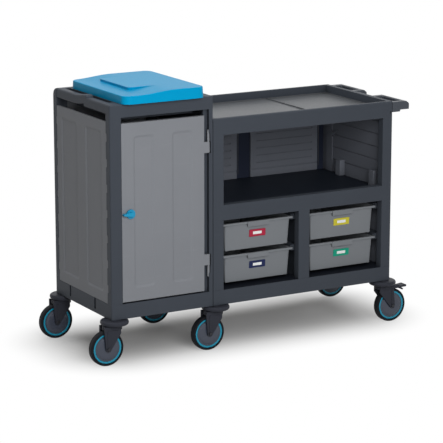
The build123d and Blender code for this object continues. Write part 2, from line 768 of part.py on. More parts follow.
# Side panel at the handle end: sunk fields outside, level grooves, a pad, a hook and two blocks inside
with BuildPart() as body_side_panel:
    panel_low = (inner_front, base_top)
    panel_high = (back_panel_rear, tray_bottom)
    with BuildSketch(Plane.YZ.offset(side_panel_left)):
        rectangle(panel_low, panel_high)
    extrude(amount=side_panel_thickness)
    for low, high in field_pair(panel_low, panel_high, panel_field_border, panel_field_strip):
        sunk_field(low, high, Plane.YZ.offset(right_x), Plane.YZ.offset(right_x - field_depth))
    pad_rear = back_panel_front - corner_pad_gap
    pad_front = pad_rear - corner_pad_depth
    wall_ribs(side_panel_left, wall_rib_depth, inner_front, pad_front)
    with BuildSketch(Plane.YZ.offset(side_panel_left)):
        rectangle((pad_front, shelf_top), (pad_rear, tray_bottom))
    extrude(amount=-corner_pad_thickness)
    hook_rear = back_panel_front - wall_hook_gap
    hook_front = hook_rear - wall_hook_length
    hook_bottom = shelf_top + wall_hook_rise
    with BuildSketch(Plane.YZ.offset(side_panel_left)):
        with BuildLine():
            Polyline(
                (hook_rear, hook_bottom),
                (hook_front, hook_bottom + wall_hook_height),
                ((hook_front + hook_rear) / 2, hook_bottom),
                close=True,
            )
        make_face()
    extrude(amount=-wall_hook_reach)
    with BuildSketch(Plane.XY.offset(shelf_top)):
        for place in (shelf_block_front, shelf_block_rear):
            block_low = (side_panel_left - shelf_block_reach, front_y + place)
            rectangle(block_low, (side_panel_left, front_y + place + shelf_block_width))
    extrude(amount=shelf_block_height)
save(body_side_panel, "body_side_panel")

# Upper front frame: the band before the tray, two posts and the middle rail round the open shelf
with BuildPart() as upper_front_frame:
    with BuildSketch(front_plane(front_y)):
        rectangle((body_left, bay_top), (right_x, body_top))
        window_low = (body_left + body_post_width, rail_top)
        rectangle(window_low, (right_x - body_post_width, band_bottom), mode=Mode.SUBTRACT)
    extrude(amount=-post_depth)
    corner_edges = edges_at(upper_front_frame, Axis.Z, (Axis.X, right_x), (Axis.Y, front_y))
    top_edges = edges_at(upper_front_frame, Axis.X, (Axis.Y, front_y), (Axis.Z, body_top))
    fillet(corner_edges + top_edges, edge_radius)
    with BuildSketch(front_plane(front_y)):
        with Locations((right_x - band_slot_inset, band_bottom + band_slot_rise)):
            Rectangle(band_slot_width, band_slot_height)
    extrude(amount=-band_slot_depth, mode=Mode.SUBTRACT)
    with BuildSketch(Plane.XY.offset(tray_bottom)):
        rectangle((body_left, tray_front), (right_x, inner_front))
    extrude(amount=tray_frame_height, mode=Mode.SUBTRACT)
save(upper_front_frame, "upper_front_frame")

# Drawer bay posts: a front post at each side, and a centre post whose wall carries the shelf
with BuildPart() as drawer_bay_posts:
    with BuildSketch(Plane.XY.offset(base_top)):
        rectangle((body_left, front_y), (body_left + body_post_width, inner_front))
        rectangle((right_x - body_post_width, front_y), (right_x, inner_front))
        rectangle((divider_x - divider_width / 2, front_y), (divider_x + divider_width / 2, inner_front))
    extrude(amount=drawer_bay_height)
    fillet(edges_at(drawer_bay_posts, Axis.Z, (Axis.X, right_x), (Axis.Y, front_y)), edge_radius)
    with BuildSketch(Plane.XY.offset(base_top)):
        wall_low = (divider_x - divider_wall / 2, inner_front)
        rectangle(wall_low, (divider_x + divider_wall / 2, back_panel_front))
    extrude(amount=shelf_bottom - base_top)
save(drawer_bay_posts, "drawer_bay_posts")

# Rear frame: three uprights joined by rails, with a window behind each back panel and two slits
bay_width = (right_x - body_left - 2 * body_post_width - divider_width) / 2
bay_centres = (divider_x - (divider_width + bay_width) / 2, divider_x + (divider_width + bay_width) / 2)
back_panel_low = divider_x + upright_width / 2
back_panel_high = right_x - upright_width + window_margin
left_back_span = (2 * divider_x - back_panel_high, 2 * divider_x - back_panel_low)
back_spans = (left_back_span, (back_panel_low, back_panel_high))
window_levels = ((base_top + rear_rail_height, bay_top), (rail_top, tray_bottom - rear_rail_height))
with BuildPart() as body_rear_frame:
    with BuildSketch(front_plane(back_panel_rear)):
        rectangle((body_left, base_top), (right_x, tray_bottom))
        for low_x, high_x in back_spans:
            for low_z, high_z in window_levels:
                window_low = (low_x + window_margin, low_z)
                rectangle(window_low, (high_x - window_margin, high_z), mode=Mode.SUBTRACT)
        for low_x, high_x in back_spans:
            slit_x = high_x + upright_slit_inset
            slit_low = (slit_x, rail_top)
            slit_high = (slit_x + upright_slit_width, tray_bottom - rear_rail_height)
            rectangle(slit_low, slit_high, mode=Mode.SUBTRACT)
    extrude(amount=-rear_frame_thickness)
save(body_rear_frame, "body_rear_frame")

# Back panels: two grooved panels behind the shelf and two plain ones behind the drawers
with BuildPart() as back_panels:
    with BuildSketch(front_plane(back_panel_front)):
        for low_x, high_x in back_spans:
            rectangle((low_x, shelf_top), (high_x, tray_bottom))
        rectangle((divider_x + divider_wall / 2, base_top), (side_panel_left, shelf_bottom))
        rectangle((partition_right, base_top), (divider_x - divider_wall / 2, shelf_bottom))
    extrude(amount=-back_panel_thickness)
    with BuildSketch(front_plane(back_panel_front)):
        for low_x, high_x in back_spans:
            for index in range(back_groove_count):
                groove_z = shelf_top + back_groove_first + index * back_groove_pitch
                groove_low = (low_x + back_groove_inset, groove_z - back_groove_width / 2)
                rectangle(groove_low, (high_x - back_groove_inset, groove_z + back_groove_width / 2))
            step_z = shelf_top + back_step_height
            rectangle((low_x, step_z - back_groove_width / 2), (high_x, step_z + back_groove_width / 2))
    extrude(amount=-back_groove_depth, mode=Mode.SUBTRACT)
save(back_panels, "back_panels")

# Middle shelf: a plate with ribs under it
with BuildPart() as middle_shelf:
    with BuildSketch(Plane.XY.offset(shelf_bottom)):
        rectangle((partition_right, inner_front), (side_panel_left, back_panel_front))
    extrude(amount=shelf_thickness)
    rib_pitch = (side_panel_left - divider_x - divider_wall / 2) / shelf_rib_count
    with BuildSketch(Plane.XY.offset(shelf_bottom - shelf_rib_height)):
        for centre in bay_centres:
            with Locations((centre, (inner_front + back_panel_front) / 2)):
                with GridLocations(rib_pitch, 1, shelf_rib_count - 1, 1):
                    Rectangle(shelf_rib_wall, back_panel_front - inner_front)
    extrude(amount=shelf_rib_height)
save(middle_shelf, "middle_shelf")

# Tray frame: the rim of the top tray with a ledge for the inserts
tray_ledge = body_top - tray_ledge_drop
tray_low = (body_left + tray_rim_width, tray_front + tray_front_rim)
tray_high = (right_x - tray_rim_width, rear_y - tray_rim_width)
with BuildPart() as tray_frame:
    with BuildSketch(Plane.XY.offset(tray_bottom)):
        rectangle((body_left, tray_front), (right_x, rear_y))
        ledge_low = (tray_low[0] + tray_ledge_width, tray_low[1] + tray_ledge_width)
        ledge_high = (tray_high[0] - tray_ledge_width, tray_high[1] - tray_ledge_width)
        rectangle(ledge_low, ledge_high, mode=Mode.SUBTRACT)
    extrude(amount=tray_frame_height)
    with BuildSketch(Plane.XY.offset(tray_ledge)):
        rectangle(tray_low, tray_high)
    extrude(amount=tray_ledge_drop, mode=Mode.SUBTRACT)
    corner_edges = edges_at(tray_frame, Axis.Z, (Axis.X, right_x), (Axis.Y, rear_y))
    rear_edges = edges_at(tray_frame, Axis.X, (Axis.Y, rear_y), (Axis.Z, body_top))
    fillet(corner_edges + rear_edges, edge_radius)
save(tray_frame, "tray_frame")

# Tray inserts: two shallow pans that lie on the ledge
seam_x = body_left + tray_seam_offset
insert_spans = ((tray_low[0], seam_x - tray_insert_gap / 2), (seam_x + tray_insert_gap / 2, tray_high[0]))
with BuildPart() as tray_inserts:
    with BuildSketch(Plane.XY.offset(tray_ledge)):
        for low_x, high_x in insert_spans:
            rectangle((low_x, tray_low[1]), (high_x, tray_high[1]))
    extrude(amount=tray_insert_rim)
    with BuildSketch(Plane.XY.offset(tray_ledge + tray_insert_floor)):
        for low_x, high_x in insert_spans:
            pan_low = (low_x + tray_insert_wall, tray_low[1] + tray_insert_wall)
            rectangle(pan_low, (high_x - tray_insert_wall, tray_high[1] - tray_insert_wall))
    extrude(amount=tray_insert_rim - tray_insert_floor, mode=Mode.SUBTRACT)
save(tray_inserts, "tray_inserts")

# Push handle: two grip loops on a root strip at the end of the tray
handle_top = body_top - handle_drop
handle_bottom = handle_top - handle_height
handle_right = right_x + handle_reach
handle_front = front_y + handle_end_inset
handle_rear = rear_y - handle_end_inset
loops = ((handle_front, handle_front + handle_loop_length), (handle_rear - handle_loop_length, handle_rear))
with BuildPart() as push_handle:
    with BuildSketch(Plane.XY.offset(handle_bottom)):
        for low_y, high_y in loops:
            rectangle((right_x, low_y), (handle_right, high_y))
    extrude(amount=handle_height)
    outer_corners = edges_at(push_handle, Axis.Z, (Axis.X, handle_right))
    fillet(outer_corners, handle_corner)
    with BuildSketch(Plane.XY.offset(handle_bottom)):
        rectangle((right_x, handle_front), (right_x + handle_root, handle_rear))
    extrude(amount=handle_height)
    with BuildSketch(Plane.XY.offset(handle_bottom)):
        for low_y, high_y in loops:
            hole_low = (right_x + handle_root, low_y + handle_bar)
            rounded_rectangle(hole_low, (handle_right - handle_bar, high_y - handle_bar), handle_round)
    extrude(amount=handle_height, mode=Mode.SUBTRACT)
    with BuildSketch(front_plane(handle_front)):
        with BuildLine():
            Polyline(
                (handle_right - handle_slope_run, handle_top),
                (handle_right, handle_top),
                (handle_right, handle_top - handle_slope_drop),
                close=True,
            )
        make_face()
    extrude(amount=handle_front - handle_rear, mode=Mode.SUBTRACT)
    rim_edges = push_handle.faces().sort_by(Axis.Z)[-1].edges().filter_by_position(
        Axis.X, right_x + handle_root + selection_gap, handle_right
    )
    fillet(rim_edges, handle_round / 2)
    with BuildSketch(front_plane(handle_front)):
        with BuildLine():
            bracket_low = handle_bottom - handle_bracket_drop
            Polyline(
                (right_x, handle_bottom),
                (right_x, bracket_low),
                (right_x + handle_bracket_reach - handle_bracket_drop / 2, bracket_low),
                (right_x + handle_bracket_reach, handle_bottom),
                close=True,
            )
        make_face()
    extrude(amount=handle_front - handle_rear)
    with BuildSketch(Plane.XY.offset(handle_bottom - handle_bracket_drop)):
        for low_y, high_y in loops:
            hole_low = (right_x + handle_root, low_y + handle_bar)
            rounded_rectangle(hole_low, (handle_right - handle_bar, high_y - handle_bar), handle_round)
        rectangle((right_x + handle_root, loops[0][1]), (handle_right, loops[1][0]))
    extrude(amount=handle_bracket_drop, mode=Mode.SUBTRACT)
save(push_handle, "push_handle")

# Drawers: tapered tubs that hang by their lips in channel runners
lip_width = bay_width - 2 * drawer_side_gap
lip_front = front_y + drawer_setback
lip_rear = back_panel_front - drawer_rear_gap
drawer_height = (drawer_bay_height - drawer_top_gap - drawer_floor_gap - drawer_stack_gap) / 2
drawer_pitch = drawer_height + drawer_stack_gap
upper_lip_top = bay_top - drawer_top_gap
drawers = {
    "drawer_upper_left": (bay_centres[0], upper_lip_top),
    "drawer_upper_right": (bay_centres[1], upper_lip_top),
    "drawer_lower_left": (bay_centres[0], upper_lip_top - drawer_pitch),
    "drawer_lower_right": (bay_centres[1], upper_lip_top - drawer_pitch),
}


def drawer_tub(centre, lip_top):
    """A tapered tub with a lip all round and a finger pull at the front."""
    half = lip_width / 2
    lip_bottom = lip_top - lip_thickness
    tub_depth = drawer_height - lip_thickness
    tub_low = (centre - half + lip_overhang, lip_front + lip_overhang / 2)
    tub_high = (centre + half - lip_overhang, lip_rear - lip_overhang / 2)
    hollow_low = (tub_low[0] + drawer_wall, tub_low[1] + drawer_wall)
    hollow_high = (tub_high[0] - drawer_wall, tub_high[1] - drawer_wall)
    with BuildPart() as tub:
        with BuildSketch(Plane.XY.offset(lip_bottom)):
            rounded_rectangle((centre - half, lip_front), (centre + half, lip_rear), drawer_corner / 2)
        extrude(amount=lip_thickness)
        fillet(tub.faces().sort_by(Axis.Z)[-1].edges(), soft_edge)
        with BuildSketch(Plane.XY.offset(lip_bottom)):
            rounded_rectangle(tub_low, tub_high, drawer_corner)
        extrude(amount=-tub_depth, taper=drawer_draft)
        fillet(tub.faces().sort_by(Axis.Z)[0].edges(), soft_edge)
        with BuildSketch(Plane.YZ.offset(centre)):
            rectangle((lip_front - pull_reach, lip_top - pull_drop), (hollow_low[1], lip_top))
        extrude(amount=pull_width / 2, both=True)
        with BuildSketch(Plane.XY.offset(lip_top)):
            rounded_rectangle(hollow_low, hollow_high, drawer_corner)
        extrude(amount=-lip_thickness, mode=Mode.SUBTRACT)
        with BuildSketch(Plane.XY.offset(lip_bottom)):
            rounded_rectangle(hollow_low, hollow_high, drawer_corner)
        extrude(amount=-(tub_depth - drawer_wall), taper=drawer_draft, mode=Mode.SUBTRACT)
    return tub


for name, (centre, lip_top) in drawers.items():
    save(drawer_tub(centre, lip_top), name)

# Runners: eight channels, each from a wall to the lip that runs in it
runner_walls = (
    (bay_centres[0], -1, partition_right),
    (bay_centres[0], 1, divider_x - divider_wall / 2),
    (bay_centres[1], -1, divider_x + divider_wall / 2),
    (bay_centres[1], 1, side_panel_left),
)
runner_front = inner_front + runner_setback
runner_rear = back_panel_front - runner_rear_gap
with BuildPart() as drawer_runners:
    for lip_top in (upper_lip_top, upper_lip_top - drawer_pitch):
        for centre, side, wall_x in runner_walls:
            lip_edge = centre + side * lip_width / 2
            flange_x = lip_edge - side * runner_flange
            channel_x = lip_edge + side * runner_side_gap
            channel_low = lip_top - lip_thickness - runner_gap
            channel_high = lip_top + runner_gap
            with BuildSketch(front_plane(runner_front)):
                low_x, high_x = sorted((flange_x, wall_x))
                rectangle((low_x, channel_low - runner_wall), (high_x, channel_high + runner_wall))
                low_x, high_x = sorted((flange_x, channel_x))
                rectangle((low_x, channel_low), (high_x, channel_high), mode=Mode.SUBTRACT)
            extrude(amount=runner_front - runner_rear)
save(drawer_runners, "drawer_runners")

# Bumper discs: one over each caster, round the kingpin and up against the base
disc_bore = kingpin_radius + 2 * bearing_clearance
with BuildPart() as bumper_discs:
    with BuildSketch(Plane.XY.offset(disc_bottom)):
        with Locations(*all_caster_spots):
            Circle(disc_radius)
    extrude(amount=disc_thickness)
    fillet(bumper_discs.edges().filter_by(GeomType.CIRCLE), disc_round)
    with BuildSketch(Plane.XY.offset(disc_top)):
        with Locations(*all_caster_spots):
            Circle(disc_boss_radius)
    extrude(amount=disc_boss_height)
    with BuildSketch(Plane.XY.offset(disc_bottom)):
        with Locations(*all_caster_spots):
            Circle(disc_bore)
    extrude(amount=disc_thickness + disc_boss_height, mode=Mode.SUBTRACT)
save(bumper_discs, "bumper_discs")

# Casters: heights shared by the fork, the wheel and the pedal
axle_z = wheel_radius
leg_inner = tyre_half_width + leg_gap
leg_middle = leg_inner + leg_thickness / 2
leg_outer = leg_inner + leg_thickness
ring_outer_radius = wheel_radius - tyre_thickness
hub_radius = ring_outer_radius - ring_thickness


def caster_fork(x, y, way, braked):
    """The fork: a crown and a roof over the tyre, two legs with a knee, and the kingpin above."""
    axle_x = x + way * caster_trail
    pivot = (x + way * pedal_pivot_reach, roof_top - pedal_pivot_drop)
    back, front = (brake_leg_back, brake_leg_front) if braked else (leg_back, leg_front)
    leg_ends = sorted((x - way * back, x + way * front))
    with BuildPart() as fork:
        with BuildSketch(Plane.XY.offset(roof_bottom)):
            with Locations((x, y)):
                Circle(crown_radius)
            with Locations((x + way * roof_reach, y)):
                Circle(leg_outer)
            make_hull()
        extrude(amount=roof_thickness)
        fillet(fork.faces().sort_by(Axis.Z)[-1].edges(), soft_edge)
        for side in (-1, 1):
            with BuildSketch(front_plane(y + side * leg_middle)):
                rectangle((leg_ends[0], axle_z + leg_knee_rise), (leg_ends[1], roof_top - soft_edge))
                with Locations((axle_x, axle_z)):
                    Circle(leg_foot_radius)
                make_hull()
            extrude(amount=leg_thickness / 2, both=True)
            if braked:
                with BuildSketch(front_plane(y + side * leg_middle)):
                    with Locations(pivot, (axle_x, pivot[1])):
                        Circle(leg_ear_radius)
                    make_hull()
                extrude(amount=leg_thickness / 2, both=True)
            with BuildSketch(front_plane(y + side * (leg_outer - leg_ridge_height))):
                with Locations((axle_x, axle_z)):
                    Circle(leg_foot_radius - leg_ridge_width)
                rectangle((axle_x - leg_ridge_width, axle_z), (axle_x + leg_ridge_width, roof_bottom))
            extrude(amount=-side * 2 * leg_ridge_height)
        with BuildSketch(Plane.XY.offset(roof_top)):
            with Locations((x, y)):
                Circle(kingpin_radius)
        extrude(amount=kingpin_length)
        with BuildSketch(front_plane(y)):
            with Locations((axle_x, axle_z)):
                Circle(axle_radius + bearing_clearance)
            if braked:
                with Locations(pivot):
                    Circle(pedal_stub_radius + bearing_clearance)
        extrude(amount=leg_outer + 2 * leg_ridge_height, both=True, mode=Mode.SUBTRACT)
    return fork


def caster_axle(x, y, way):
    """The axle: a bolt through both legs with a round head in front and a nut behind."""
    axle_x = x + way * caster_trail
    seat = leg_outer + leg_ridge_height
    with BuildPart() as axle:
        with BuildSketch(front_plane(y)):
            with Locations((axle_x, axle_z)):
                Circle(axle_radius)
        extrude(amount=seat, both=True)
        with BuildSketch(front_plane(y - seat)):
            with Locations((axle_x, axle_z)):
                Circle(axle_head_radius)
        extrude(amount=axle_head_height)
        fillet(axle.faces().sort_by(Axis.Y)[0].edges(), soft_edge)
        with BuildSketch(front_plane(y + seat)):
            with Locations((axle_x, axle_z)):
                RegularPolygon(axle_head_radius, axle_nut_sides)
        extrude(amount=-axle_head_height)
    return axle


def wheel_plane(x, y, way):
    """A sketch plane through the axle: sketch x runs along the axle, sketch y is the radius."""
    return Plane(origin=(x + way * caster_trail, y, axle_z), x_dir=(0, 1, 0), z_dir=(1, 0, 0))


def wheel_axis(x, y, way):
    """The axle's own line."""
    return Axis((x + way * caster_trail, y, axle_z), (0, 1, 0))


def wheel_hub(x, y, way):
    """The hub: a long boss on the axle, a domed web and a rim."""
    rim_inner = hub_radius - hub_rim_thickness
    with BuildPart() as hub:
        with BuildSketch(wheel_plane(x, y, way)):
            with BuildLine():
                Polyline(
                    (0, axle_radius + bearing_clearance),
                    (hub_boss_half_width, axle_radius + bearing_clearance),
                    (hub_boss_half_width, hub_boss_radius),
                )
                Spline(
                    (hub_boss_half_width, hub_boss_radius),
                    (hub_rim_half_width, rim_inner),
                    tangents=[(0, 1), (-1, 1)],
                )
                Polyline(
                    (hub_rim_half_width, rim_inner),
                    (hub_rim_half_width, hub_radius),
                    (0, hub_radius),
                    (0, axle_radius + bearing_clearance),
                )
            make_face()
            mirror(about=Plane.YZ)
        revolve(axis=wheel_axis(x, y, way))
    return hub


def wheel_ring(x, y, way):
    """The coloured ring between hub and tyre, with rounded faces."""
    with BuildPart() as ring:
        with BuildSketch(wheel_plane(x, y, way)):
            rectangle((-ring_half_width, hub_radius), (ring_half_width, ring_outer_radius))
        revolve(axis=wheel_axis(x, y, way))
        fillet(ring.edges().filter_by(GeomType.CIRCLE), ring_round)
    return ring


def wheel_tyre(x, y, way):
    """The tyre: a band with rounded shoulders."""
    with BuildPart() as tyre:
        with BuildSketch(wheel_plane(x, y, way)) as profile:
            rectangle((-tyre_half_width, ring_outer_radius), (tyre_half_width, wheel_radius))
            fillet(profile.vertices().group_by(Axis.Y)[-1], tyre_shoulder)
        revolve(axis=wheel_axis(x, y, way))
    return tyre


def brake_pedal(x, y, way):
    """The brake pedal: two tongues on one boss, with stubs that turn in the fork's legs."""
    pivot = (x + way * pedal_pivot_reach, roof_top - pedal_pivot_drop)
    waist = (x + way * pedal_waist_reach, roof_top - pedal_waist_drop)
    tip = (x + way * pedal_tip_reach, roof_top - pedal_tip_drop)
    heel = (x + way * pedal_heel_reach, roof_top - pedal_heel_drop)
    strips = (
        (pivot, pedal_boss_radius, waist, pedal_waist_radius),
        (waist, pedal_waist_radius, tip, pedal_tip_radius),
        (pivot, pedal_boss_radius, heel, pedal_heel_radius),
    )
    half_width = leg_inner - pedal_side_gap
    with BuildPart() as pedal:
        for start, start_radius, end, end_radius in strips:
            with BuildSketch(front_plane(y)):
                with Locations(start):
                    Circle(start_radius)
                with Locations(end):
                    Circle(end_radius)
                make_hull()
            extrude(amount=half_width, both=True)
        with BuildSketch(front_plane(y)):
            with Locations(pivot):
                Circle(pedal_stub_radius)
        extrude(amount=leg_outer, both=True)
    return pedal


for place, (x, y, way) in casters.items():
    braked = way > 0
    save(caster_fork(x, y, way, braked), f"fork_{place}")
    save(caster_axle(x, y, way), f"axle_{place}")
    save(wheel_hub(x, y, way), f"hub_{place}")
    save(wheel_ring(x, y, way), f"ring_{place}")
    save(wheel_tyre(x, y, way), f"tyre_{place}")
    if braked:
        save(brake_pedal(x, y, way), f"pedal_{place}")
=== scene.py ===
import math

import bpy
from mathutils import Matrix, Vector


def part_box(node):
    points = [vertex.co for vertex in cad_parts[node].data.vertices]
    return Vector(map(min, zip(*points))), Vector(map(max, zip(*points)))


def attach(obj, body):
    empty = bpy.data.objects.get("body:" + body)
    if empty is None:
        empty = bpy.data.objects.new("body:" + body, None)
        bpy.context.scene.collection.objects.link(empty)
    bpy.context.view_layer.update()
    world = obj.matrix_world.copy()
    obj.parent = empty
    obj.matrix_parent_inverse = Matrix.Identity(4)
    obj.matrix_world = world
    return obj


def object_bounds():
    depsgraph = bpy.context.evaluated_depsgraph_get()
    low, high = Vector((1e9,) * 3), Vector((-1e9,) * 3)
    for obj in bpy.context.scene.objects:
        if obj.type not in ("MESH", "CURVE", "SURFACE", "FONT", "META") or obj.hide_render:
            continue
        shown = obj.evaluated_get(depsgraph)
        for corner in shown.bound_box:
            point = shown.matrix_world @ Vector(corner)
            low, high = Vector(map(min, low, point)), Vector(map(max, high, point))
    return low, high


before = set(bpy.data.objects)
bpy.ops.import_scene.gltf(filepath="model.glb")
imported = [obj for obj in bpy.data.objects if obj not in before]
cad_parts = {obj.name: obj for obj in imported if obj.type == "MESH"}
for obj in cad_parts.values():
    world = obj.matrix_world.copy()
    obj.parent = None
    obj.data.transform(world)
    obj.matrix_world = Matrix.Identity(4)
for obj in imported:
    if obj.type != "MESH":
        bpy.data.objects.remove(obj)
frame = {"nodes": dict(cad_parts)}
cad_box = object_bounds()

bl_info = {
    "name": "Cleaning Cart Finishes",
    "version": (1, 0, 0),
    "blender": (4, 5, 0),
    "location": "View3D > Sidebar > Cart",
    "description": "Dresses the packed cleaning cart with moulded plastics, labels and a plain studio",
    "category": "Object",
}

MM = 0.001

# How strongly a face mirrors: grained mouldings hardly, the satin lid a little, polished pieces more
GRAINED = 0.08
SATIN = 0.10
POLISHED = 0.30

# A lined face takes its colour down to this depth
LINING_DEPTH = 0.5 * MM

# How a label is formed: rounded corners, a thin raised rim, and a blank strip with broken edges
LABEL_CORNER = 3 * MM
RIM_WIDTH = 0.8 * MM
RIM_HEIGHT = 0.4 * MM
STRIP_EDGE = 0.4 * MM

# The drawer's front: its pull and its lip stand out, and the wall under the lip leans back.
# The lean is taken from 2 mm above the lip's underside, which beds a label slightly into the wall.
PULL_REACH = 3 * MM
LIP_REACH = 6 * MM
LEAN_START = 7 * MM
DRAWER_DRAFT = math.radians(4.5)

# The floor in metres: the shaded field lies inside the cart's outline and fades to white around it
FLOOR_SIZE = 60.0
SHADE_INSET = 0.21
SHADE_CENTRE = (-0.005, 0.04, 0.0)
SHADE_FADE = 0.42
# Even at the field's middle this share of the floor glows white: painted light lifting the shadow
LEAST_WHITE = 0.055

# The light: a faint warm room and four soft boxes, each with its place, size in metres and power in
# watts. Only the top one is mirrored in glossy faces, so the lid keeps its blue from every side.
ROOM_STRENGTH = 0.07
LAMP_TARGET = (0.0, 0.0, 0.6)
LAMPS = (
    ("key_soft_box", (-1.05, -3.9, 2.2), 2.5, 134.0, False),
    ("rear_soft_box", (1.8, 4.2, 2.2), 3.0, 50.0, False),
    ("top_soft_box", (-0.9, 0.2, 4.0), 3.0, 62.0, True),
    ("side_soft_box", (4.0, 1.0, 2.0), 2.5, 36.0, False),
)

# The camera, solved from the cart's upright and level edges
CAMERA_PLACE = (-4.531, -7.921, 2.576)
CAMERA_TURN = (math.radians(77.091), 0.0, math.radians(-29.671))
CAMERA_LENS = 174.6
SENSOR_WIDTH = 36.0
FARTHEST_SEEN = 100.0


def linear(code):
    """Turn an sRGB hex colour into linear red, green and blue."""
    channels = [int(code[i:i + 2], 16) / 255 for i in (1, 3, 5)]
    return tuple(c / 12.92 if c <= 0.04045 else ((c + 0.055) / 1.055) ** 2.4 for c in channels)


def opaque(colour):
    """A colour with full alpha, as sockets take it."""
    return (*colour, 1.0)


def toned(colour, factor):
    """A colour made lighter or darker by one factor, with full alpha."""
    return opaque(min(1.0, channel * factor) for channel in colour)


WHITE = opaque(linear("#FFFFFF"))
FLOOR_GREY = opaque(linear("#C2C2C2"))
ROOM_TINT = opaque(linear("#FFF1D7"))


def add_node(tree, kind, inputs=None, **settings):
    """Add a node, set its settings, and fill each named input with a value or a link."""
    made = tree.nodes.new(kind)
    for name, value in settings.items():
        setattr(made, name, value)
    for name, value in (inputs or {}).items():
        if isinstance(value, bpy.types.NodeSocket):
            tree.links.new(value, made.inputs[name])
        else:
            made.inputs[name].default_value = value
    return made


def new_material(name):
    """An empty node material and its output node."""
    material = bpy.data.materials.new(name)
    material.use_nodes = True
    material.node_tree.nodes.clear()
    return material, add_node(material.node_tree, "ShaderNodeOutputMaterial")


def per_metre(size_mm):
    """The texture scale whose features are about the given size."""
    return 1.0 / (size_mm * MM)


# Moulded plastics: polypropylene and ABS from a steel mould. The mould's spark-eroded grain breaks up
# the gloss, flow marks vary the tone over a hand's width, and rubbed corners go paler. Level scuffs are
# about 110 mm long and 14 mm high. Nooks and seams are darkened as painted shade, where shadow falls.
def moulded_plastic(name, colour, roughness, grain_mm=2.2, grain_height_mm=0.05, mottle=0.05,
                    rub=1.25, coat=0.0, specular=GRAINED, lining=None):
    """A moulded plastic with grain, flow marks, fine scuffs, rubbed edges and painted shade in nooks.

    A lining is one face in another colour, given as the colour, the axis, the test and the level.
    """
    flow_mm = 110
    scuffs_per_metre = (9.0, 9.0, 70.0)
    edge_radius = 1.6 * MM
    nook_reach = 70 * MM
    scuff_tone = rub * 1.15
    nook_shade_tone = 0.25
    gloss_spread = 0.06
    material, output = new_material(name)
    tree = material.node_tree
    place = add_node(tree, "ShaderNodeTexCoord").outputs["Object"]
    flow = add_node(tree, "ShaderNodeTexNoise",
                    {"Vector": place, "Scale": per_metre(flow_mm), "Detail": 3.0})
    # The real grain is under half a millimetre, so it is drawn coarser to show at all
    grain = add_node(tree, "ShaderNodeTexNoise",
                     {"Vector": place, "Scale": per_metre(grain_mm), "Detail": 2.0, "Roughness": 0.6})
    stretched = add_node(tree, "ShaderNodeMapping", {"Vector": place, "Scale": scuffs_per_metre})
    scuffs = add_node(tree, "ShaderNodeTexNoise",
                      {"Vector": stretched.outputs["Vector"], "Scale": 1.0, "Detail": 4.0})
    scuff_mask = add_node(tree, "ShaderNodeMapRange",
                          {"Value": scuffs.outputs["Fac"], "From Min": 0.62, "From Max": 0.74,
                           "To Max": 0.10})
    tone = add_node(tree, "ShaderNodeMixRGB",
                    {"Fac": flow.outputs["Fac"], "Color1": toned(colour, 1.0 - mottle),
                     "Color2": toned(colour, 1.0 + mottle)})
    rounded = add_node(tree, "ShaderNodeBevel", {"Radius": edge_radius}, samples=4)
    facing = add_node(tree, "ShaderNodeNewGeometry").outputs["Normal"]
    turn = add_node(tree, "ShaderNodeVectorMath", {0: rounded.outputs["Normal"], 1: facing},
                    operation="DOT_PRODUCT")
    edge = add_node(tree, "ShaderNodeMapRange",
                    {"Value": turn.outputs["Value"], "From Min": 0.985, "From Max": 0.80,
                     "To Max": 0.55})
    worn = add_node(tree, "ShaderNodeMixRGB",
                    {"Fac": edge.outputs["Result"], "Color1": tone.outputs["Color"],
                     "Color2": toned(colour, rub)})
    scuffed = add_node(tree, "ShaderNodeMixRGB",
                       {"Fac": scuff_mask.outputs["Result"], "Color1": worn.outputs["Color"],
                        "Color2": toned(colour, scuff_tone)})
    # Ambient occlusion darkens nooks and seams towards a quarter of the colour: painted shade
    nook = add_node(tree, "ShaderNodeAmbientOcclusion", {"Distance": nook_reach}, samples=6)
    nook_shade_mask = add_node(tree, "ShaderNodeMapRange",
                     {"Value": nook.outputs["AO"], "From Min": 0.60, "From Max": 0.20,
                      "To Max": 0.80})
    nook_shaded = add_node(tree, "ShaderNodeMixRGB",
                      {"Fac": nook_shade_mask.outputs["Result"], "Color1": scuffed.outputs["Color"],
                       "Color2": toned(colour, nook_shade_tone)})
    finish = nook_shaded.outputs["Color"]
    if lining is not None:
        lining_colour, axis, test, level = lining
        split = add_node(tree, "ShaderNodeSeparateXYZ", {"Vector": place})
        on_face = add_node(tree, "ShaderNodeMath", {0: split.outputs[axis], 1: level},
                           operation=test)
        lined = add_node(tree, "ShaderNodeMixRGB",
                         {"Fac": on_face.outputs["Value"], "Color1": finish,
                          "Color2": opaque(lining_colour)})
        finish = lined.outputs["Color"]
    gloss = add_node(tree, "ShaderNodeMapRange",
                     {"Value": grain.outputs["Fac"], "From Min": 0.3, "From Max": 0.7,
                      "To Min": roughness - gloss_spread, "To Max": roughness + gloss_spread})
    bump = add_node(tree, "ShaderNodeBump",
                    {"Height": grain.outputs["Fac"], "Strength": 0.35,
                     "Distance": grain_height_mm * MM, "Normal": rounded.outputs["Normal"]})
    shader = add_node(tree, "ShaderNodeBsdfPrincipled",
                      {"Base Color": finish, "Roughness": gloss.outputs["Result"], "IOR": 1.49,
                       "Specular IOR Level": specular, "Coat Weight": coat, "Coat Roughness": 0.18,
                       "Normal": bump.outputs["Normal"]})
    tree.links.new(shader.outputs["BSDF"], output.inputs["Surface"])
    return material


